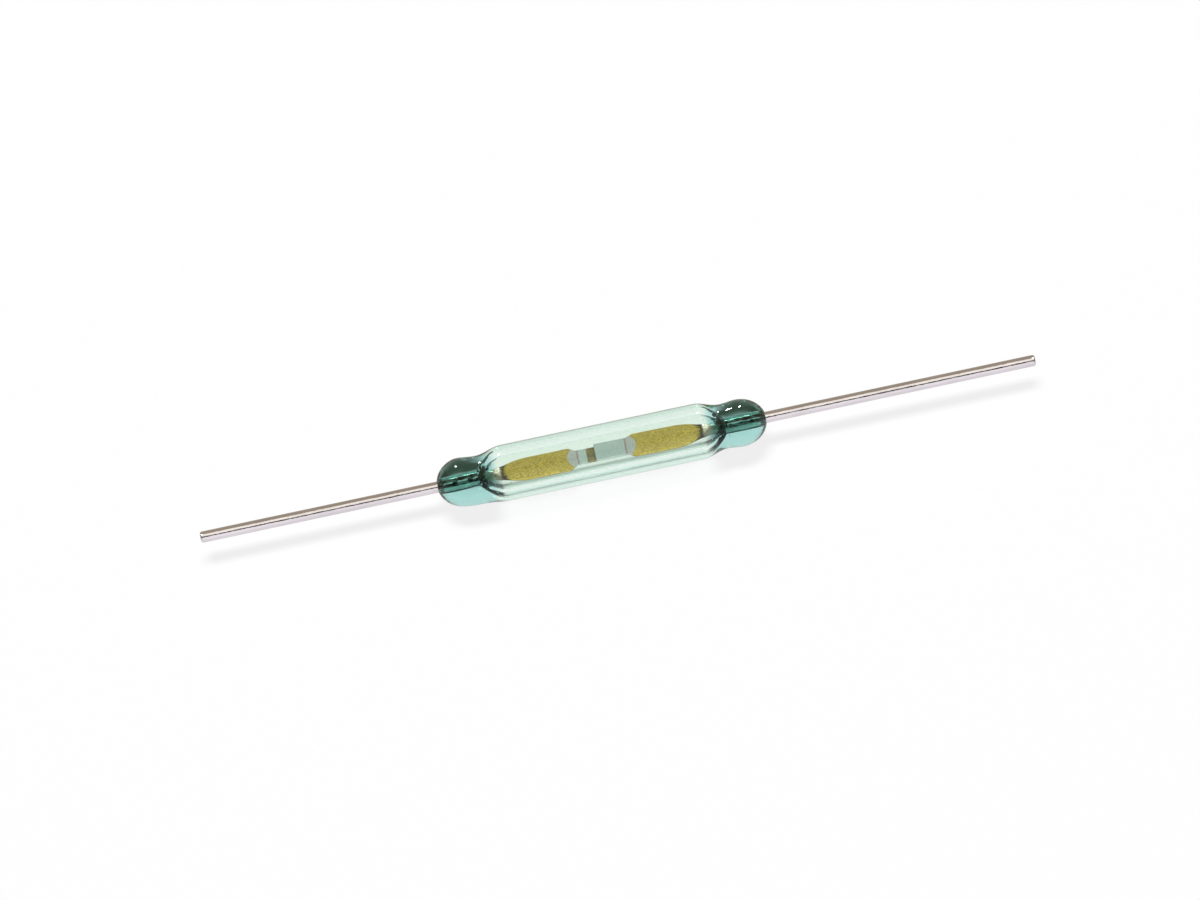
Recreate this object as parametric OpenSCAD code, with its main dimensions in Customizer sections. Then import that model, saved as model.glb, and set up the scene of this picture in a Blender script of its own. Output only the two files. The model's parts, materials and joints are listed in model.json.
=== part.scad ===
// Glass reed switch: two pressed wires sealed into the ends of a small glass tube.
// X runs along the tube, with the origin at its middle, and the flat faces of the reeds look up and down.

/* [Glass capsule] */
// Length of the glass over the points of its two domed ends
glass_length = 14.94; // [13.5:0.02:18]
// Outside diameter of the tube
tube_diameter = 2.5; // [2.3:0.05:3.2]
// Thickness of the tube's wall
tube_wall = 0.52; // [0.3:0.02:0.6]
// Length over which the softened tube draws in to its waist
shoulder_length = 1.18; // [0.6:0.02:1.6]
// Distance from the waist to the fullest part of the end bead
bead_from_waist = 0.71; // [0.4:0.01:1]
// Length of the dome that closes each end
dome_length = 1.22; // [0.8:0.01:1.6]
// Diameter at the left waist
left_waist_diameter = 2.16; // [1.6:0.01:2.25]
// Diameter of the left end bead
left_bead_diameter = 2.2; // [1.6:0.01:2.28]
// Diameter at the right waist
right_waist_diameter = 1.99; // [1.6:0.01:2.25]
// Diameter of the right end bead
right_bead_diameter = 2.11; // [1.6:0.01:2.28]
// Depth from the dome's point to where the funnel of the hollow would meet the axis
funnel_point_depth = 1.48; // [1:0.02:2]
// Length of the funnel in which the hollow closes onto the wire
funnel_length = 1.44; // [0.8:0.02:1.8]

/* [Leads] */
// Diameter of the tinned lead outside the glass
lead_diameter = 0.5; // [0.44:0.01:0.6]
// Diameter of the bare wire where its pressed neck begins
bare_wire_diameter = 0.48; // [0.4:0.01:0.58]
// Length of the left lead outside the glass
left_lead_length = 10.64; // [4:0.02:20]
// Length of the right lead outside the glass
right_lead_length = 12.1; // [4:0.02:20]
// Rounding of the cropped end of each lead
lead_end_round = 0.1; // [0.02:0.01:0.16]
// Depth from the dome's point to the root of the blade
blade_root_depth = 3.02; // [2.8:0.02:3.4]
// Length over which the round wire is pressed out to the blade's thickness and root width
press_length = 0.45; // [0.2:0.05:0.8]

/* [Reed blades] */
// Width of the blade
blade_width = 1.1; // [0.9:0.02:1.2]
// Thickness at the crown along the middle of the blade
blade_thickness = 0.25; // [0.2:0.01:0.32]
// Thickness along the blade's two edges
blade_edge_thickness = 0.14; // [0.13:0.005:0.18]
// Width of the blade at its root
blade_root_width = 0.64; // [0.5:0.02:0.8]
// Length over which the blade widens from its root
flare_length = 1.2; // [0.6:0.05:1.6]
// Width of the contact tip
tip_width = 0.8; // [0.6:0.02:0.88]
// Thickness of the contact tip
tip_thickness = 0.12; // [0.08:0.005:0.125]
// Length of the flat contact tip, from its crease to its end
tip_length = 1.39; // [1:0.01:1.8]
// Length of the pressed ramp between the crown and the tip
ramp_length = 0.48; // [0.3:0.02:0.7]
// Length over which the blade narrows to the tip
taper_length = 0.45; // [0.3:0.02:0.7]
// Length by which the two tips lie over each other
tip_overlap = 0.62; // [0.4:0.02:1]
// Air between the open contacts
contact_gap = 0.08; // [0.04:0.005:0.12]

/* [Hidden] */
$fn = 64;
// Straight pieces that stand for each curved stretch of an outline
curve_steps = 12;
// Facets of the large round that crowns the thin blade
crown_facets = 360;
// Bend of the funnel's wall, where 1 is a plain cone
funnel_bend = 1.3;
// Room by which a cutting shape stands past what it cuts
cut_room = 1;

glass_end = glass_length / 2;
bead_place = glass_end - dome_length;
waist_place = bead_place - bead_from_waist;
straight_end = waist_place - shoulder_length;
tube_radius = tube_diameter / 2;
bore_radius = tube_radius - tube_wall;
funnel_point = glass_end - funnel_point_depth;
lead_radius = lead_diameter / 2;
blade_root = glass_end - blade_root_depth;
// Reach of the neck's rounded corners at the root, halfway between a sharp corner and the flat side
root_corner = (norm([blade_root_width, blade_thickness]) + blade_root_width) / 4;
blade_length = blade_root + tip_overlap / 2;
tip_crease = blade_length - tip_length;
// Each open reed leans away from the other by half a tip and half the gap
lean = atan((tip_thickness + contact_gap) / 2 / blade_root);
crown_drop = (blade_thickness - blade_edge_thickness) / 2;
crown_radius = (pow(blade_width / 2, 2) + pow(crown_drop, 2)) / (2 * crown_drop);

// Points [radius, place] of a smooth S from one radius to another
function s_curve(r0, x0, r1, x1) =
    [for (i = [1 : curve_steps])
        let (t = i / curve_steps)
        [r0 + (r1 - r0) * (1 - cos(180 * t)) / 2, x0 + (x1 - x0) * t]];

// Points [radius, place] of a dome that starts at full radius and ends on the axis
function dome(r, x0, x1) =
    [for (i = [1 : curve_steps])
        let (a = 90 * i / curve_steps)
        [r * cos(a), x0 + (x1 - x0) * sin(a)]];

// One end of the glass from the straight tube out to the dome's point
function sealed_end(waist_diameter, bead_diameter) =
    let (waist = waist_diameter / 2, bead = bead_diameter / 2)
    concat(
        [[tube_radius, straight_end]],
        s_curve(tube_radius, straight_end, waist, waist_place),
        s_curve(waist, waist_place, bead, bead_place),
        dome(bead, bead_place, glass_end));

// One end of the hollow, where the wall closes onto the wire
function funnel() =
    [for (i = [0 : curve_steps])
        let (t = i / curve_steps)
        [bore_radius * (1 - pow(t, funnel_bend)), funnel_point - funnel_length * (1 - t)]];

function reversed(points) = [for (i = [len(points) - 1 : -1 : 0]) points[i]];
function other_end(points) = [for (p = reversed(points)) [p.x, -p.y]];

// A profile of [radius, place] points turned about the X axis
module turned(profile) {
    rotate([0, 90, 0])
        rotate_extrude()
            polygon(profile);
}

// An outline in X and Z pulled out to both sides along Y
module across(outline, width) {
    rotate([90, 0, 0])
        linear_extrude(width, center = true)
            polygon(outline);
}

// Room over one pressed side of the neck, which slopes from the round wire to that reach at the root
module press_cut(reach) {
    across([
        [-press_length, lead_radius],
        [0, reach],
        [press_length + cut_room, reach],
        [press_length + cut_room, lead_diameter],
        [-press_length, lead_diameter]],
        lead_diameter + cut_room);
}

// Drawn wire from its rounded outer end to the root of the blade, which is at the origin
module wire(outside_length) {
    outer_end = -blade_root_depth - outside_length;
    rounded_end = [for (i = [0 : curve_steps / 2])
        let (a = 90 * i / (curve_steps / 2))
        [lead_radius - lead_end_round * (1 - sin(a)), outer_end + lead_end_round * (1 - cos(a))]];
    profile = concat(
        [[0, outer_end]],
        rounded_end,
        [[lead_radius, -blade_root_depth],
         [bare_wire_diameter / 2, -press_length],
         [root_corner, 0],
         [root_corner, press_length],
         [0, press_length]]);
    difference() {
        turned(profile);
        for (turn = [0, 180]) {
            rotate([turn, 0, 0])
                press_cut(blade_thickness / 2);
            rotate([turn + 90, 0, 0])
                press_cut(blade_root_width / 2);
        }
        rotate([0, lean, 0])
            translate([0, -lead_diameter, -lead_diameter])
                cube([press_length + cut_room, 2 * lead_diameter, 2 * lead_diameter]);
    }
}

// One crowned face of the blade, as the round of a long roller
module crown(side) {
    translate([-cut_room, 0, side * (blade_thickness / 2 - crown_radius)])
        rotate([0, 90, 0])
            cylinder(r = crown_radius, h = blade_length + 2 * cut_room, $fn = crown_facets);
}

// Pressed reed from its root at the origin to its contact tip along X
module blade() {
    flare = [for (i = [0 : curve_steps])
        let (t = i / curve_steps)
        [flare_length * t, (blade_root_width + (blade_width - blade_root_width) * sin(90 * t)) / 2]];
    taper = [for (i = [0 : curve_steps])
        let (t = i / curve_steps)
        [tip_crease - taper_length * (1 - t),
         (tip_width + (blade_width - tip_width) * (1 + cos(180 * t)) / 2) / 2]];
    edge = concat(flare, taper, [[blade_length, tip_width / 2]]);
    ramp_slope = (blade_thickness - tip_thickness) / 2 / ramp_length;
    ramp_top = tip_crease - (blade_thickness - tip_thickness / 2) / ramp_slope;
    face = [
        [0, blade_thickness],
        [ramp_top, blade_thickness],
        [tip_crease, tip_thickness / 2],
        [blade_length, tip_thickness / 2]];
    intersection() {
        translate([0, 0, -blade_thickness])
            linear_extrude(2 * blade_thickness)
                polygon(concat(edge, [for (p = reversed(edge)) [p.x, -p.y]]));
        across(concat(face, [for (p = reversed(face)) [p.x, -p.y]]), 2 * blade_width);
        crown(1);
        crown(-1);
    }
}

// Turns a left-hand piece end for end about Y, which also turns its underside up
module right_hand() {
    rotate([0, 180, 0])
        children();
}

module left_lead() {
    color("#b9b2ad")
        translate([-blade_root, 0, 0])
            wire(left_lead_length);
}

module right_lead() {
    color("#b9b2ad")
        right_hand()
            translate([-blade_root, 0, 0])
                wire(right_lead_length);
}

module left_blade() {
    color("#a8923f")
        translate([-blade_root, 0, 0])
            rotate([0, lean, 0])
                blade();
}

module right_blade() {
    color("#a8923f")
        right_hand()
            translate([-blade_root, 0, 0])
                rotate([0, lean, 0])
                    blade();
}

// Glass tube melted down onto the two wires
module glass_capsule() {
    color("#bfe0cf", 0.45)
        difference() {
            turned(concat(
                other_end(sealed_end(left_waist_diameter, left_bead_diameter)),
                sealed_end(right_waist_diameter, right_bead_diameter)));
            turned(concat(other_end(funnel()), funnel()));
            left_lead();
            right_lead();
        }
}

glass_capsule();
left_lead();
left_blade();
right_lead();
right_blade();
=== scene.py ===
import json
import math

import bpy
import numpy as np
from mathutils import Matrix, Vector


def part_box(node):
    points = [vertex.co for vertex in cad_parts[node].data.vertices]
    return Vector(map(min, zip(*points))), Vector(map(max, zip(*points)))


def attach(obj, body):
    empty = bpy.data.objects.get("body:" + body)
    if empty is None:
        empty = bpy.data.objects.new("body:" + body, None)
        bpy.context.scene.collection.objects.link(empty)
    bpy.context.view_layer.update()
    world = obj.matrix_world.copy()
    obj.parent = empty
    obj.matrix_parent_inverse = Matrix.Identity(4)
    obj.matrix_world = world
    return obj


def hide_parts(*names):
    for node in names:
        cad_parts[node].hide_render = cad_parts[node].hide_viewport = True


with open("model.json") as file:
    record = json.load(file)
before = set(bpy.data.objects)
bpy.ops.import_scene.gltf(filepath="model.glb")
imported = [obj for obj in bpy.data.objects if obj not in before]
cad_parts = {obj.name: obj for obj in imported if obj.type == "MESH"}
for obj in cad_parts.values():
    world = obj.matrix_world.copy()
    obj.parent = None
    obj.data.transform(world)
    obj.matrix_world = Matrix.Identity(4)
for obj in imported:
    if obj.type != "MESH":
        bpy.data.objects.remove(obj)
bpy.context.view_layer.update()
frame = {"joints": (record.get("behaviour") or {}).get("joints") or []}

# Leads. Each one is the round outer end of a reed, drawn nickel-iron wire with a bright coat of tin.
# It is cropped and tumbled at its free end, held by the glass that was melted onto it,
# and pressed out flat and wide where its blade begins.
mm = 0.001
lead_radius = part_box("left_lead")[1].z
bare_radius = 0.24 * mm
cropped_round = 0.1 * mm
glass_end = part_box("glass_capsule")[1].x
hinge_place = {joint["name"]: joint["pos_m"][0] for joint in frame["joints"]}
blade_root = hinge_place["right_flex"]
press_length = 0.45 * mm
root_half_width = 0.32 * mm
root_half_thickness = 0.125 * mm
tip_half_thickness = 0.06 * mm
contact_gap = 0.08 * mm
# Each open reed leans away from the other by half a tip and half the gap
lean = math.atan((tip_half_thickness + contact_gap / 2) / blade_root)
# Where the finish changes along the wire, the reach of the neck's painted shade, and the lines
# of the black oxide band and of the painted glints
oxide_start = 5.35 * mm
oxide_fade = 0.12 * mm
neck_root_shade_length = 0.16 * mm
neck_front_shade_reach = 0.12 * mm
dark_oxide_line = -0.055 * mm
dark_oxide_half_width = 0.13 * mm
painted_glint_line = -0.065 * mm
painted_glint_half_width = 0.03 * mm
tin_colours = (0.78, 0.755, 0.76, 1), (0.7, 0.68, 0.68, 1)
bare_colours = (0.74, 0.7, 0.6, 1), (0.36, 0.34, 0.27, 1)
neck_front_shade_colour = (0.22, 0.19, 0.11, 1)
neck_root_shade_colour = (0.03, 0.026, 0.012, 1)
pale_oxide_and_sheen_colours = (0.2, 0.32, 0.28, 1), (0.36, 0.58, 0.5, 1)
black_oxide_colours = (0.006, 0.014, 0.01, 1), (0.12, 0.2, 0.16, 1)
painted_glint_colour = (0.6, 0.78, 0.75, 1)


def ring_quads(rings, around):
    """Corner numbers of the quads between neighbouring rings of points, where each ring closes on itself."""
    ring, place = np.meshgrid(np.arange(rings - 1), np.arange(around), indexing="ij")
    corner, beside = ring * around + place, ring * around + (place + 1) % around
    return np.stack([corner, beside, beside + around, corner + around], axis=-1).reshape(-1, 4)


def end_quads(rings, around):
    """Corner numbers of the strips over the first and last ring, from each point to its mirror image."""
    place = np.arange(around // 2 - 1)
    strip = np.stack([place, place + 1, around - 2 - place, around - 1 - place], axis=-1)
    return np.concatenate([strip[:, ::-1], strip + (rings - 1) * around])


def closed_quads(points):
    """Corner numbers of a closed piece: the quads between its rings, then the strips over its two ends."""
    rings, around, _ = points.shape
    return np.concatenate([ring_quads(rings, around), end_quads(rings, around)])


def new_piece(name, points, faces, material, sharp_degrees=40):
    """A smooth shaded object at the origin, from an array of points and an array of quads."""
    mesh = bpy.data.meshes.new(name)
    mesh.from_pydata(points.reshape(-1, 3), [], faces)
    mesh.polygons.foreach_set("use_smooth", np.ones(len(faces), bool))
    mesh.set_sharp_from_angle(angle=math.radians(sharp_degrees))
    mesh.materials.append(material)
    piece = bpy.data.objects.new(name, mesh)
    bpy.context.scene.collection.objects.link(piece)
    return piece


def turned_over(points):
    """The same points after half a turn about Y, which makes a right-hand piece of a left-hand one."""
    return points * np.array([-1, 1, -1])


def smooth_step(value, start, end):
    """0 before start, 1 after end, and a cubic S between them."""
    share = np.clip((value - start) / (end - start), 0, 1)
    return share * share * (3 - 2 * share)


def lead_points(outer_end, around=96):
    """Rings of a left-hand lead: x runs from the cropped end to the blade's root, and the angle once around.

    The section is a superellipse. It is a circle of the wire's radius up to the press. From there its width
    grows to the root's, its height sinks to the root's and its power goes from 2 to 4. The cropped end is a
    quarter round about a flat middle.
    """
    press_start = -blade_root - press_length
    round_angle = np.radians(np.linspace(4, 90, 12))
    along = np.sort(np.concatenate([
        outer_end + cropped_round * (1 - np.sin(round_angle)),
        np.linspace(outer_end + cropped_round, -glass_end, 60)[1:],
        np.linspace(-glass_end, press_start, 40)[1:],
        np.linspace(press_start, -blade_root, 40)[1:]]))
    rounding = np.sqrt(1 - np.clip(1 - (along - outer_end) / cropped_round, 0, 1) ** 2)
    radius = np.interp(along, [-glass_end, -blade_root], [lead_radius, bare_radius])
    radius = radius - cropped_round * (1 - rounding)
    pressed = smooth_step(along, press_start, -blade_root)
    half_width = radius + (root_half_width - radius) * pressed
    half_height = radius + (root_half_thickness - radius) * pressed
    power = (2 / (2 + 2 * pressed))[:, None]
    angle = (np.arange(around) + 0.5) * 2 * math.pi / around
    cos, sin = np.cos(angle), np.sin(angle)
    across = half_width[:, None] * np.sign(cos) * np.abs(cos) ** power
    height = half_height[:, None] * np.sign(sin) * np.abs(sin) ** power
    slanted = along[:, None] + pressed[:, None] * height * math.tan(lean)
    return np.stack([slanted, across, height], axis=-1)


def add(tree, kind, inputs=None, **settings):
    """A new shader node of that kind. An input is given as a value, or as the socket that feeds it."""
    made = tree.nodes.new(kind)
    for name, value in settings.items():
        setattr(made, name, value)
    for name, value in (inputs or {}).items():
        if isinstance(value, bpy.types.NodeSocket):
            tree.links.new(value, made.inputs[name])
        else:
            made.inputs[name].default_value = value
    return made


def new_material(name):
    """An empty node material, its tree and its output node."""
    material = bpy.data.materials.new(name)
    material.use_nodes = True
    material.node_tree.nodes.clear()
    return material, material.node_tree, material.node_tree.nodes.new("ShaderNodeOutputMaterial")


def own_place(tree):
    """X, Y and Z of a point on the piece's own coordinates."""
    place = add(tree, "ShaderNodeTexCoord").outputs["Object"]
    return add(tree, "ShaderNodeSeparateXYZ", {0: place}).outputs


def speckle(tree, size, stretch=(1, 1, 1), detail=2.0):
    """Noise from 0 to 1 on the piece's own coordinates, in grains of that size, stretched along each axis."""
    place = add(tree, "ShaderNodeTexCoord").outputs["Object"]
    scale = [1 / (size * along) for along in stretch]
    grains = add(tree, "ShaderNodeMapping", {"Vector": place, "Scale": scale}).outputs["Vector"]
    return add(tree, "ShaderNodeTexNoise", {"Vector": grains, "Scale": 1.0, "Detail": detail}).outputs["Fac"]


def ranged(tree, value, low, high, to_low=0.0, to_high=1.0):
    """A value mapped from one range onto another, and held at its ends."""
    inputs = {"Value": value, "From Min": low, "From Max": high, "To Min": to_low, "To Max": to_high}
    return add(tree, "ShaderNodeMapRange", inputs).outputs["Result"]


def mixed(tree, share, first, second):
    """A colour between two others. The node keeps its two colours in inputs 6 and 7."""
    return add(tree, "ShaderNodeMix", {0: share, 6: first, 7: second}, data_type="RGBA").outputs[2]


def combined(tree, operation, *values):
    """The values put together by one arithmetic operation. A value is a number or a socket."""
    return add(tree, "ShaderNodeMath", dict(enumerate(values)), operation=operation).outputs[0]


def far_from(tree, value, line):
    """How far a value lies from a line, to either side."""
    return combined(tree, "ABSOLUTE", combined(tree, "SUBTRACT", value, line))


def metal_finish(tree, output, colour, roughness, bump):
    """Plain metal with that colour, roughness and bump, joined to the material's output."""
    metal = add(tree, "ShaderNodeBsdfPrincipled", {
        "Base Color": colour,
        "Metallic": 1.0,
        "Roughness": roughness,
        "Normal": bump.outputs["Normal"]})
    tree.links.new(metal.outputs["BSDF"], output.inputs["Surface"])


def tinned_wire_material():
    """Bright tin with drawing marks along the wire, which is bare metal inside the glass.

    The bare neck is darkened on its front and where the blade begins, as painted shade. The stretch that the
    hot glass closed on is oxidised, black in a band along its middle and pale to either side, where the pale
    colour partly stands for the bright front mirrored in it, a painted reflection, with a broken line of
    painted glints along the black.
    """
    material, tree, output = new_material("tinned_wire")
    marks = speckle(tree, 0.03 * mm, stretch=(30, 1, 1), detail=3)
    patches = speckle(tree, 0.35 * mm, stretch=(3, 1, 1))
    flecks = speckle(tree, 0.09 * mm, stretch=(2, 1, 1))
    parts = own_place(tree)
    from_middle = combined(tree, "ABSOLUTE", parts["X"])
    tin = mixed(tree, ranged(tree, patches, 0.35, 0.7), *tin_colours)
    bare = mixed(tree, ranged(tree, flecks, 0.4, 0.6), *bare_colours)
    # Painted shade: the bare neck is darkened on its front side
    neck_front_shade = ranged(tree, parts["Y"], -neck_front_shade_reach, neck_front_shade_reach, 0.7, 0)
    bare = mixed(tree, neck_front_shade, bare, neck_front_shade_colour)
    # Painted shade: the neck is darkened in patches where it meets the blade
    neck_root_shade = ranged(tree, from_middle, blade_root, blade_root + neck_root_shade_length, 1.3, 0)
    neck_root_shade = combined(tree, "MULTIPLY", neck_root_shade, ranged(tree, flecks, 0.35, 0.6, 1, 0.5))
    bare = mixed(tree, neck_root_shade, bare, neck_root_shade_colour)
    # Partly painted reflection: the pale oxide on either side of the black band also stands for the bright
    # front mirrored in the wire
    pale_oxide_and_sheen = mixed(tree, ranged(tree, patches, 0.4, 0.65), *pale_oxide_and_sheen_colours)
    black_oxide = mixed(tree, ranged(tree, flecks, 0.45, 0.62), *black_oxide_colours)
    # Painted highlights: a broken line of bright glints on the black oxide
    from_painted_glints = far_from(tree, parts["Y"], painted_glint_line)
    painted_glints = ranged(tree, from_painted_glints, 0.5 * painted_glint_half_width, painted_glint_half_width, 1, 0)
    painted_glints = combined(tree, "MULTIPLY", painted_glints, ranged(tree, flecks, 0.45, 0.5))
    black_oxide = mixed(tree, painted_glints, black_oxide, painted_glint_colour)
    from_dark_oxide = far_from(tree, parts["Y"], dark_oxide_line)
    dark_oxide_band = ranged(tree, from_dark_oxide, 0.95 * dark_oxide_half_width, dark_oxide_half_width, 1, 0)
    oxide = mixed(tree, dark_oxide_band, pale_oxide_and_sheen, black_oxide)
    oxidised = ranged(tree, from_middle, oxide_start, oxide_start + oxide_fade)
    inside = ranged(tree, from_middle, glass_end - oxide_fade, glass_end, 1, 0)
    uneven = combined(tree, "MULTIPLY_ADD", flecks, 4.0, marks)
    bump = add(tree, "ShaderNodeBump", {"Height": uneven, "Strength": 0.6, "Distance": 0.002 * mm})
    roughness = combined(tree, "MULTIPLY_ADD", inside, 0.15, ranged(tree, patches, 0.3, 0.7, 0.07, 0.13))
    colour = mixed(tree, inside, tin, mixed(tree, oxidised, bare, oxide))
    metal_finish(tree, output, colour, roughness, bump)
    return material


tinned_wire = tinned_wire_material()
left_wire = lead_points(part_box("left_lead")[0].x)
right_wire = turned_over(lead_points(-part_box("right_lead")[1].x))
for side, points in (("left", left_wire), ("right", right_wire)):
    lead = new_piece(side + "_tinned_lead", points, closed_quads(points), tinned_wire)
    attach(lead, "capsule")
    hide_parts(side + "_lead")

# Reed blades. Each one is the inner end of the same wire, pressed to a crowned strip with a thin coined tip.
# It is plated a grainy gold colour, with a silvery tip and a dark layer on the contact face, which is partly
# the hard contact plating and partly painted shade under the other tip, and it is held only by its root, so
# that it can bend.
blade_half_width = 0.55 * mm
edge_half_thickness = 0.07 * mm
flare_length = 1.2 * mm
tip_half_widths = {"left": 0.36 * mm, "right": 0.41 * mm}
tip_sideways = {"left": 0.025 * mm, "right": 0.0}
tip_length = 1.39 * mm
ramp_length = 0.48 * mm
taper_length = 0.45 * mm
tip_overlap = 0.62 * mm
edge_round = 0.05 * mm
tip_end_round = 0.03 * mm
tip_corner_round = 0.07 * mm
contact_length = 1.0 * mm
root_bow = 0.13 * mm
blade_length = blade_root + tip_overlap / 2
tip_crease = blade_length - tip_length
ramp_slope = (root_half_thickness - tip_half_thickness) / ramp_length
# The stretch with the closest rings, which holds the taper, the ramp and the crease
close_start = tip_crease - 0.6 * mm
close_end = tip_crease + 0.1 * mm
gold_colours = (0.13, 0.094, 0.013, 1), (0.45, 0.352, 0.08, 1)
dark_speck_colour = (0.12, 0.1, 0.03, 1)
ramp_silver_colours = (0.18, 0.2, 0.19, 1), (0.38, 0.38, 0.36, 1)
tip_silver_colours = (0.23, 0.275, 0.26, 1), (0.3, 0.35, 0.33, 1)
contact_and_shade_colours = (0.06, 0.05, 0.028, 1), (0.22, 0.18, 0.08, 1)
crease_colour = (0.2, 0.12, 0.12, 1)
blade_root_shade_colour = (0.025, 0.022, 0.008, 1)


def round_end(along, length):
    """1 up to that length before the tip's end, then a quarter round down to 0 at the end."""
    return np.sqrt(1 - np.clip((along - blade_length + length) / length, 0, 1) ** 2)


def blade_points(tip_half_width):
    """Rings of a left-hand blade, along from root to tip and then once around, and its pressed depth there.

    Half the width grows by a sine over the flare and shrinks by a cosine over the taper. Half the thickness
    is the lesser of the crown, a parabola across the blade, and the ramp, a straight line along it that ends
    at the tip's thickness. The two long edges are half ellipses, and the pressed depth is how far the ramp
    lies below the crown.
    """
    along = np.concatenate([
        np.linspace(0, flare_length, 70),
        np.linspace(flare_length, close_start, 60)[1:],
        np.linspace(close_start, close_end, 110)[1:],
        np.linspace(close_end, blade_length - tip_corner_round, 60)[1:],
        blade_length - tip_corner_round * (1 - np.sin(np.radians(np.linspace(0, 84, 20))))[1:]])
    flare = root_half_width + (blade_half_width - root_half_width) * np.sin(
        np.clip(along / flare_length, 0, 1) * math.pi / 2)
    narrowed = (1 - np.cos(np.clip((along - tip_crease) / taper_length + 1, 0, 1) * math.pi)) / 2
    half_width = flare + (tip_half_width - blade_half_width) * narrowed
    half_width = half_width - tip_corner_round * (1 - round_end(along, tip_corner_round))
    ramp = np.maximum(tip_half_thickness, tip_half_thickness + (tip_crease - along) * ramp_slope)[:, None]

    # Once around from the middle of an edge: share of the width, bulge of the edge and share of the height
    face = np.linspace(1, -1, 56)
    edge = np.radians(np.linspace(90, -90, 14)[1:-1])
    section = np.stack([
        np.concatenate([face, 0 * edge - 1, -face, 0 * edge + 1]),
        np.concatenate([0 * face, -np.cos(edge), 0 * face, np.cos(edge)]),
        np.concatenate([0 * face + 1, np.sin(edge), 0 * face - 1, -np.sin(edge)])])
    share, bulge, height = np.roll(section, len(edge) // 2, axis=1)

    inner = share * (half_width[:, None] - edge_round)
    crown_drop = (root_half_thickness - edge_half_thickness) * (inner / blade_half_width) ** 2
    crown = root_half_thickness - crown_drop
    half_thickness = np.minimum(crown, ramp) * round_end(along, tip_end_round)[:, None].clip(0.2)
    points = np.stack([
        np.broadcast_to(along[:, None], inner.shape),
        inner + bulge * edge_round,
        height * half_thickness], axis=-1)
    return points, crown - ramp


def leaned(points):
    """A left-hand blade's points turned down about its root by the lean, and moved to the hinge."""
    x, y, z = np.moveaxis(points, -1, 0)
    return np.stack([
        x * math.cos(lean) + z * math.sin(lean) - blade_root,
        y,
        z * math.cos(lean) - x * math.sin(lean)], axis=-1)


def set_marks(piece, marks):
    """Gives each point of a piece its values, as attributes that the piece's material reads by name."""
    for name, values in marks.items():
        mark = piece.data.attributes.new(name, "FLOAT", "POINT")
        mark.data.foreach_set("value", values.astype(np.float32).ravel())


def mark_of(tree, name):
    """The value that a point has been given under that name."""
    return add(tree, "ShaderNodeAttribute", attribute_name=name).outputs["Fac"]


def plated_reed_material():
    """Grainy gold-coloured plating that gives way to silver where the press went, with a dark contact layer.

    The contact layer is partly the real hard plating and partly painted shade under the other tip, and the
    root's corners are painted dark as shade where the neck meets the blade. The piece's own attributes say,
    in millimetres, how deep the press went and how far a point lies past the crease and past a bowed line at
    the root, and whether it is on the contact face.
    """
    material, tree, output = new_material("plated_reed")
    depth = mark_of(tree, "pressed_depth")
    past_crease = mark_of(tree, "past_crease")
    past_root = mark_of(tree, "past_root")
    contact = mark_of(tree, "contact_layer")
    fine = speckle(tree, 0.025 * mm, detail=1)
    coarse = speckle(tree, 0.06 * mm, detail=1)
    specks = speckle(tree, 0.045 * mm, detail=0)
    grain = combined(tree, "ADD", fine, coarse)
    gold = mixed(tree, ranged(tree, grain, 0.7, 1.3), *gold_colours)
    gold = mixed(tree, ranged(tree, specks, 0.22, 0.33, 0.7, 0), gold, dark_speck_colour)
    ramp_silver = mixed(tree, ranged(tree, fine, 0.35, 0.65), *ramp_silver_colours)
    tip_silver = mixed(tree, ranged(tree, grain, 0.7, 1.3), *tip_silver_colours)
    silver = mixed(tree, ranged(tree, past_crease, -0.02, 0.02), ramp_silver, tip_silver)
    # Partly painted shade: the contact face is darkened, as hard plating and as shade under the other tip
    contact_layer = mixed(tree, ranged(tree, grain, 0.85, 1.2), *contact_and_shade_colours)
    ragged = combined(tree, "MULTIPLY_ADD", coarse, 0.006, depth)
    colour = mixed(tree, ranged(tree, ragged, 0.001, 0.006), gold, silver)
    from_crease = combined(tree, "ABSOLUTE", past_crease)
    colour = mixed(tree, ranged(tree, from_crease, 0.025, 0.045, 0.8, 0), colour, crease_colour)
    colour = mixed(tree, contact, colour, contact_layer)
    # Painted shade: the root's corners, where the neck meets the blade, are darkened along a ragged bowed
    # line
    ragged_root_line = combined(tree, "MULTIPLY_ADD", specks, -0.3, past_root)
    colour = mixed(tree, ranged(tree, ragged_root_line, -0.16, -0.04, 1, 0), colour, blade_root_shade_colour)
    bump = add(tree, "ShaderNodeBump", {"Height": grain, "Strength": 0.7, "Distance": 0.005 * mm})
    metal_finish(tree, output, colour, ranged(tree, fine, 0.3, 0.7, 0.68, 0.8), bump)
    return material


plated_reed = plated_reed_material()
for side, tip_half_width in tip_half_widths.items():
    flat_blade, pressed_depth = blade_points(tip_half_width)
    along, across, height = np.moveaxis(flat_blade, -1, 0)
    # These are views of the blade's own points, so this swings the blade a little to one side
    across += tip_sideways[side] * along / blade_length
    points = leaned(flat_blade) if side == "left" else turned_over(leaned(flat_blade))
    blade = new_piece(side + "_reed_blade", points, closed_quads(points), plated_reed)
    set_marks(blade, {
        "pressed_depth": pressed_depth / mm,
        "past_crease": (along - tip_crease) / mm,
        "past_root": (along - root_bow * (across / root_half_width) ** 2) / mm,
        "contact_layer": (height > 0) * (along > blade_length - contact_length)})
    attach(blade, side + "_reed")
    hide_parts(side + "_blade")

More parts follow.
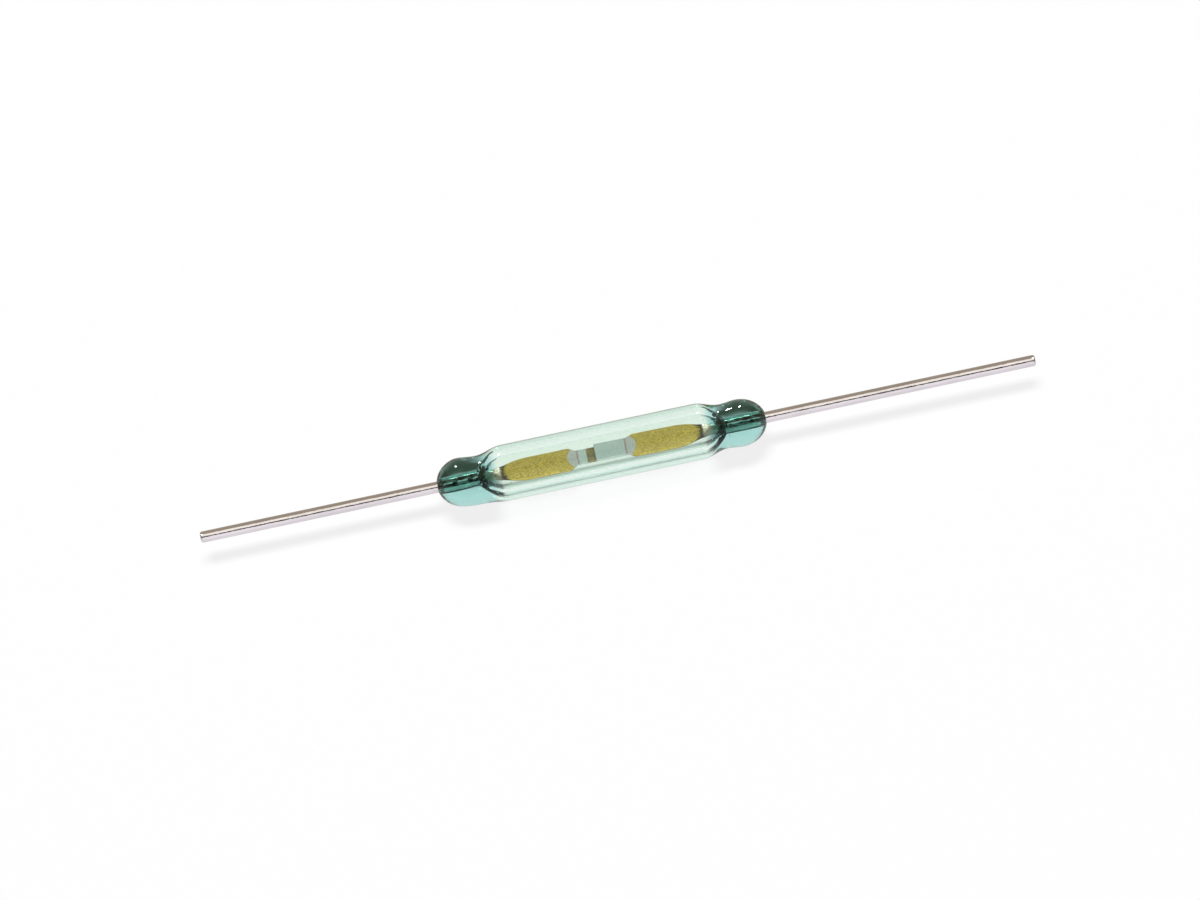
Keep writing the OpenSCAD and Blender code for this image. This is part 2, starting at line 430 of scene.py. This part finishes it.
# Glass capsule. It is one length of pale green glass tube, cut off and stood over the two reeds,
# then melted down onto each wire in turn, which leaves a waist, a full round bead and a sealed hollow.
# The left end has run a little to one side, towards the camera.
tube_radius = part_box("glass_capsule")[1].z
bore_radius = 0.73 * mm
dome_length = 1.22 * mm
bead_from_waist = 0.71 * mm
shoulder_length = 1.18 * mm
end_radii = {"left": (1.08 * mm, 1.1 * mm), "right": (0.995 * mm, 1.055 * mm)}
funnel_point = glass_end - 1.48 * mm
funnel_length = 1.44 * mm
funnel_bend = 1.3
funnel_ripple = 0.035
sealed_radius = 0.9 * bare_radius
left_run = 0.07 * mm
run_half_length = 1.15 * mm
camera_elevation = math.radians(65)
bead_place = glass_end - dome_length
waist_place = bead_place - bead_from_waist
straight_end = waist_place - shoulder_length
# Where the glass begins to look solid and where it does, then the radii at which the funnel grows dark with
# painted shade
solid_start = waist_place - 0.8 * mm
solid_full = waist_place - 0.4 * mm
funnel_mouth = 0.995 * bore_radius
funnel_inside = 0.96 * bore_radius
throat_radius = 0.31 * mm
speck_spacing = 0.8 * mm
tube_colour = (0.94, 0.985, 0.945, 1)
solid_colour = (0.5, 0.76, 0.76, 1)
funnel_shade_colour = (0.004, 0.025, 0.018, 1)
speck_colour = (0.1, 0.12, 0.1, 1)
tube_shade = (0.98, 0.98, 0.98, 1)
solid_shade = (0.04, 0.16, 0.08, 1)
tint_colour = (0.4, 0.8, 0.65, 1)
tint_density = 220.0


def cosine_blend(share, start, end):
    """A value that leaves start and reaches end with no slope."""
    return start + (end - start) * (1 - np.cos(math.pi * share)) / 2


def sealed_end(waist, bead):
    """Places and radii from the straight tube out to where the dome meets the wire.

    Two cosine curves go from the tube in to the waist and out to the bead, and a quarter ellipse makes the
    dome.
    """
    share = np.linspace(0, 1, 40)
    dome_angle = np.linspace(0, math.acos(sealed_radius / bead), 48)
    place = np.concatenate([
        straight_end + shoulder_length * share,
        waist_place + bead_from_waist * share[1:],
        bead_place + dome_length * np.sin(dome_angle[1:])])
    radius = np.concatenate([
        cosine_blend(share, tube_radius, waist),
        cosine_blend(share[1:], waist, bead),
        bead * np.cos(dome_angle[1:])])
    return place, radius


def hollow_end():
    """Places and radii of the hollow from its bore to the wire: a funnel whose radius falls by a power."""
    last = (1 - sealed_radius / bore_radius) ** (1 / funnel_bend)
    share = np.linspace(0, last, 48)
    return funnel_point - funnel_length * (1 - share), bore_radius * (1 - share ** funnel_bend)


def glass_points(around=192):
    """Rings of the glass, from the left wire over the outside to the right wire and back through the hollow.

    Every ring is a circle about X. Those of the left end are moved to the side it has run to, by a squared
    cosine that is greatest at its waist. The funnels of the hollow have two sine ripples around, where they
    near the wire.
    """
    left_place, left_radius = sealed_end(*end_radii["left"])
    right_place, right_radius = sealed_end(*end_radii["right"])
    hollow_place, hollow_radius = hollow_end()
    straight = np.linspace(-straight_end, straight_end, 32)[1:-1]
    bore = np.linspace(-hollow_place[0], hollow_place[0], 32)[1:-1]
    place = np.concatenate([
        -left_place[::-1], straight, right_place,
        hollow_place[::-1], -bore, -hollow_place])
    radius = np.concatenate([
        left_radius[::-1], 0 * straight + tube_radius, right_radius,
        hollow_radius[::-1], 0 * bore + bore_radius, hollow_radius])
    outside = np.arange(len(place)) < len(left_place) + len(straight) + len(right_place)
    from_waist = np.clip((place + waist_place) / run_half_length, -1, 1)
    run = (left_run * np.cos(math.pi / 2 * from_waist) ** 2 * outside)[:, None]
    angle = np.arange(around) * 2 * math.pi / around
    narrowed = smooth_step(bore_radius - radius, 0.2 * bore_radius, 0.5 * bore_radius)
    rippled = funnel_ripple * narrowed * smooth_step(radius, bare_radius, 1.4 * bare_radius) * ~outside
    turn = np.sign(place)[:, None]
    waves = np.sin(5 * angle + turn) + 0.6 * np.sin(8 * angle - 2 * turn)
    reach = radius[:, None] * (1 + rippled[:, None] * waves)
    return np.stack([
        np.broadcast_to(place[:, None], (len(place), around)),
        reach * np.cos(angle) - run * math.sin(camera_elevation),
        reach * np.sin(angle) - run * math.cos(camera_elevation)], axis=-1)


def green_glass_material():
    """Clear glass that takes out red light, with faint drawing lines along it and a few tiny dark specks.

    Each funnel has a ragged dark band of painted shade where its wall is seen edge on or nears the wire, with
    a few glimpses through it. Lamps shine straight through the glass, so that the reeds are lit, and less so
    through the solid ends.
    """
    material, tree, output = new_material("green_glass")
    lines = speckle(tree, 0.12 * mm, stretch=(60, 1, 1))
    bump = add(tree, "ShaderNodeBump", {"Height": lines, "Strength": 0.1, "Distance": 0.004 * mm})
    place = add(tree, "ShaderNodeTexCoord").outputs["Object"]
    cells = add(tree, "ShaderNodeTexVoronoi", {"Vector": place, "Scale": 1 / speck_spacing})
    speck = ranged(tree, cells.outputs["Distance"], 0.02, 0.04, 1, 0)
    solid = mark_of(tree, "solid_end")
    colour = mixed(tree, solid, tube_colour, solid_colour)
    streaks = speckle(tree, 0.12 * mm, stretch=(2, 1, 1), detail=1)
    # Painted shade: the funnel's wall turns dark and opaque where it is seen edge on and near the wire
    edge_on = add(tree, "ShaderNodeLayerWeight", {"Blend": 0.5}).outputs["Facing"]
    closing = combined(tree, "MULTIPLY_ADD", mark_of(tree, "throat"), 0.75, edge_on)
    ragged = combined(tree, "MULTIPLY_ADD", streaks, 0.4, closing)
    band = combined(tree, "MULTIPLY", mark_of(tree, "funnel_wall"), ranged(tree, ragged, 0.88, 0.94))
    glimpses = ranged(tree, speckle(tree, 0.1 * mm, detail=0), 0.66, 0.7, 1, 0)
    band = combined(tree, "MULTIPLY", band, glimpses)
    colour = mixed(tree, band, colour, funnel_shade_colour)
    glass = add(tree, "ShaderNodeBsdfPrincipled", {
        "Base Color": mixed(tree, speck, colour, speck_colour),
        "Roughness": ranged(tree, band, 0, 1, 0, 0.3),
        "IOR": 1.5,
        "Transmission Weight": ranged(tree, band, 0, 1, 1, 0),
        "Normal": bump.outputs["Normal"]})
    clear = add(tree, "ShaderNodeBsdfTransparent", {"Color": mixed(tree, solid, tube_shade, solid_shade)})
    shadow_ray = add(tree, "ShaderNodeLightPath").outputs["Is Shadow Ray"]
    surface = add(tree, "ShaderNodeMixShader", {
        0: shadow_ray, 1: glass.outputs["BSDF"], 2: clear.outputs["BSDF"]})
    tint = add(tree, "ShaderNodeVolumeAbsorption", {"Color": tint_colour, "Density": tint_density})
    tree.links.new(surface.outputs["Shader"], output.inputs["Surface"])
    tree.links.new(tint.outputs["Volume"], output.inputs["Volume"])
    return material


points = glass_points()
rings, around, _ = points.shape
# The last ring meets the first again, so the numbers start over
faces = ring_quads(rings + 1, around) % (rings * around)
capsule = new_piece("glass_tube", points, faces, green_glass_material())
from_axis = np.hypot(points[..., 1], points[..., 2])
from_middle = np.abs(points[..., 0])
in_funnel = smooth_step(-from_axis, -funnel_mouth, -funnel_inside)
set_marks(capsule, {
    "solid_end": smooth_step(from_middle, solid_start, solid_full),
    "funnel_wall": in_funnel * (from_middle < funnel_point),
    "throat": smooth_step(-from_axis, -bore_radius, -throat_radius)})
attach(capsule, "capsule")
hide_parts("glass_capsule")

# Floor. A sheet of white paper a little under the switch, which is held by its lead.
# It is wide enough for every view, shows as white to the camera and keeps the part's shadow.
# Bright metal mirrors it in two tones, and through the glass it is dark under the part.
floor_half_width = 1.5
floor_lines = 9
floor_gap = 0.6 * mm
floor_level = -tube_radius - floor_gap
dark_reach = 4 * mm
pale_reach = 12 * mm
gathered_line = 0.12 * mm
gathered_half_width = 0.25 * mm
mirror_fade = 1 * mm
camera_share = 0.85
mirror_share = 0.9
paper_colours = (0.88, 0.88, 0.88, 1), (0.92, 0.92, 0.92, 1)
mirrored_colours = (0.9, 0.85, 0.91, 1), (0.4, 0.335, 0.265, 1)
white = (1, 1, 1, 1)


def white_paper_material():
    """Matt white paper with a faint tooth, which glows by a share that depends on how it is seen.

    The share is large for the camera and for mirrors, where the front is pale and the back a warm grey.
    Through glass it is small under the part and grows away from it, apart from a painted bright line of light
    where the straight tube would gather it. A mirrored ray is a glossy one that hasn't passed through glass.
    """
    material, tree, output = new_material("white_paper")
    colour = mixed(tree, speckle(tree, 0.4 * mm), *paper_colours)
    path = add(tree, "ShaderNodeLightPath").outputs
    parts = own_place(tree)
    away = ranged(tree, combined(tree, "ABSOLUTE", parts["Y"]), dark_reach, pale_reach, 0.01, 0.8)
    # Painted light: a bright line on the floor under the straight tube, seen only through the glass
    from_line = far_from(tree, parts["Y"], gathered_line)
    gathered = ranged(tree, from_line, gathered_half_width, 1.4 * gathered_half_width, 0.8, 0)
    under_tube = ranged(tree, combined(tree, "ABSOLUTE", parts["X"]), straight_end, bead_place, 1, 0)
    seen_through = combined(tree, "MULTIPLY_ADD", gathered, under_tube, away)
    share = combined(tree, "MULTIPLY", path["Is Transmission Ray"], seen_through)
    share = combined(tree, "MULTIPLY_ADD", path["Is Camera Ray"], camera_share, share)
    mirror = combined(tree, "GREATER_THAN", path["Is Glossy Ray"], path["Is Transmission Ray"])
    share = combined(tree, "MULTIPLY_ADD", mirror, mirror_share, share)
    mirrored = mixed(tree, ranged(tree, parts["Y"], -mirror_fade, mirror_fade), *mirrored_colours)
    paper = add(tree, "ShaderNodeBsdfDiffuse", {"Color": colour})
    glow = add(tree, "ShaderNodeEmission", {"Color": mixed(tree, mirror, white, mirrored), "Strength": 1.0})
    surface = add(tree, "ShaderNodeMixShader", {
        0: share, 1: paper.outputs["BSDF"], 2: glow.outputs["Emission"]})
    tree.links.new(surface.outputs["Shader"], output.inputs["Surface"])
    return material


floor_edge = np.linspace(-floor_half_width, floor_half_width, floor_lines)
floor_x, floor_y = np.meshgrid(floor_edge, floor_edge)
floor_points = np.stack([floor_x, floor_y, np.full(floor_x.shape, floor_level)], axis=-1)
row, column = np.meshgrid(np.arange(floor_lines - 1), np.arange(floor_lines - 1), indexing="ij")
corner = row * floor_lines + column
floor_quads = np.stack([corner, corner + 1, corner + floor_lines + 1, corner + floor_lines], axis=-1)
floor = new_piece("paper_floor", floor_points, floor_quads.reshape(-1, 4), white_paper_material())

# Studio. Soft light comes from overhead, and two small windows at the back shine on the round glass.
# A card, a strip and two small boxes are there for the leads alone, and one more box for the reeds.
# The room is a dim warm grey, so that the bright wire shows clear bands, and the glass shows it paler.
scene = bpy.context.scene
scene.view_settings.view_transform = "Standard"
scene.cycles.caustics_refractive = False
scene.cycles.max_bounces = 24
scene.cycles.transmission_bounces = 24
scene.cycles.glossy_bounces = 12
scene.cycles.transparent_max_bounces = 24
# Degrees from the front edge of the floor up and over to the back, where each band starts, and its light
studio_bands = (
    (0, (0.33, 0.29, 0.34, 1)),
    (53, (0.08, 0.07, 0.06, 1)),
    (72, (0.4, 0.335, 0.265, 1)))
sky_through_glass = (0.85, 0.88, 0.86, 1)
sky_middle = math.radians(113)
low_sky_start = math.radians(60)
lamp_distance = 0.8
overhead_radiance = 42
window_sideways = 0.195
neck_box_sideways = 0.44
lead_names = ("left_tinned_lead", "right_tinned_lead")
reed_names = ("left_reed_blade", "right_reed_blade")


def studio_world():
    """Light that depends on the angle up and over the part: a ramp with one step for each band.

    Through glass the sky is mixed with a pale one, by half near its middle and wholly in the low sky.
    """
    world = bpy.data.worlds.new("studio")
    world.use_nodes = True
    tree = world.node_tree
    tree.nodes.clear()
    towards = add(tree, "ShaderNodeTexCoord").outputs["Generated"]
    parts = add(tree, "ShaderNodeSeparateXYZ", {0: towards}).outputs
    over = combined(tree, "ARCTAN2", parts["Z"], combined(tree, "MULTIPLY", parts["Y"], -1.0))
    ramp = add(tree, "ShaderNodeValToRGB", {"Fac": ranged(tree, over, 0.0, math.pi)})
    ramp.color_ramp.interpolation = "CONSTANT"
    steps = ramp.color_ramp.elements
    for number, (degrees, band_light) in enumerate(studio_bands):
        # A new ramp has two steps already
        step = steps[number] if number < 2 else steps.new(degrees / 180)
        step.position = degrees / 180
        step.color = band_light
    through = add(tree, "ShaderNodeLightPath").outputs["Is Transmission Ray"]
    low = ranged(tree, far_from(tree, over, sky_middle), 0.5 * low_sky_start, low_sky_start, 0.5, 1)
    pale = combined(tree, "MULTIPLY", through, low)
    light = mixed(tree, pale, ramp.outputs["Color"], sky_through_glass)
    background = add(tree, "ShaderNodeBackground", {"Color": light, "Strength": 1.0})
    output = add(tree, "ShaderNodeOutputWorld")
    tree.links.new(background.outputs["Background"], output.inputs["Surface"])
    return world


def soft_box(name, degrees, width, length, radiance, sideways=0.0, shape="RECTANGLE"):
    """A flat lamp that faces the part with its length across.

    It stands at that angle from the front edge of the floor up and over, and to one side. Its energy is its
    area times four times its radiance.
    """
    data = bpy.data.lights.new(name, "AREA")
    data.shape = shape
    data.size, data.size_y = length, width
    data.energy = 4 * width * length * radiance
    lamp = bpy.data.objects.new(name, data)
    angle = math.radians(degrees)
    facing = Vector((sideways, -math.cos(angle), math.sin(angle))).normalized()
    upward = facing.cross(Vector((1, 0, 0))).normalized()
    lamp.matrix_world = Matrix((upward.cross(facing), upward, facing)).transposed().to_4x4()
    lamp.location = lamp_distance * facing
    lamp.visible_camera = False
    bpy.context.scene.collection.objects.link(lamp)
    return lamp


def linked(name, *pieces):
    """A collection of those pieces, for a lamp that lights only them or is shaded only by them."""
    collection = bpy.data.collections.new(name)
    for piece in pieces:
        collection.objects.link(bpy.data.objects[piece])
    return collection


def shine_only_on(lamp, receivers):
    """Lets a lamp be mirrored by the pieces of that collection, and light nothing else."""
    lamp.visible_diffuse = False
    lamp.light_linking.receiver_collection = receivers


scene.world = studio_world()
scene.world.cycles_visibility.diffuse = False
overhead_box = soft_box("overhead_box", 98, width=0.14, length=0.3, radiance=0.45 * overhead_radiance)
overhead_fill = soft_box("overhead_fill", 98, width=0.14, length=0.3, radiance=0.55 * overhead_radiance)
for lamp in (overhead_box, overhead_fill):
    lamp.visible_glossy = False
    lamp.visible_transmission = False
leads = linked("leads", *lead_names)
reeds = linked("reeds", *reed_names)
only_glass = linked("only_glass", "glass_tube")
overhead_fill.light_linking.blocker_collection = linked("glass_and_leads", "glass_tube", *lead_names)
for side, way in (("left", -1), ("right", 1)):
    window = soft_box(
        side + "_window", 151, width=0.1, length=0.12, radiance=30,
        sideways=way * window_sideways, shape="ELLIPSE")
    shine_only_on(window, only_glass)
    neck_box = soft_box(
        side + "_neck_box", 118, width=0.24, length=0.12, radiance=24,
        sideways=way * neck_box_sideways, shape="ELLIPSE")
    shine_only_on(neck_box, leads)
shine_only_on(soft_box("card_box", 20, width=0.9, length=1.2, radiance=0.55), leads)
shine_only_on(soft_box("strip_box", 94, width=0.62, length=1.2, radiance=0.6), leads)
shine_only_on(soft_box("reed_box", 45, width=0.5, length=0.8, radiance=15.0), reeds)

# Camera. It looks down from the front with a long lens, turned so that the wire rises to the right.
# Its distance and aim come from the picture's scale and the place of the part's origin in the picture.
photo_width, photo_height = 1200, 900
pixels_per_metre = 22640
part_origin = (601.7, 452.2)
wire_rise = math.radians(12)
focal_length, sensor_width = 150, 36
level_right = Vector((1, 0, 0))
level_up = Vector((0, math.sin(camera_elevation), math.cos(camera_elevation)))
backward = Vector((0, -math.cos(camera_elevation), math.sin(camera_elevation)))
right = math.cos(wire_rise) * level_right - math.sin(wire_rise) * level_up
up = math.sin(wire_rise) * level_right + math.cos(wire_rise) * level_up
distance = photo_width / pixels_per_metre * focal_length / sensor_width
aim_right = right * (photo_width / 2 - part_origin[0])
aim_up = up * (part_origin[1] - photo_height / 2)
aim = (aim_right + aim_up) / pixels_per_metre
camera_data = bpy.data.cameras.new("camera")
camera_data.lens = focal_length
camera_data.sensor_width = sensor_width
camera_data.clip_start = 0.01
camera = bpy.data.objects.new("camera", camera_data)
camera.matrix_world = Matrix((right, up, backward)).transposed().to_4x4()
camera.location = aim + backward * distance
scene.collection.objects.link(camera)
scene.camera = camera
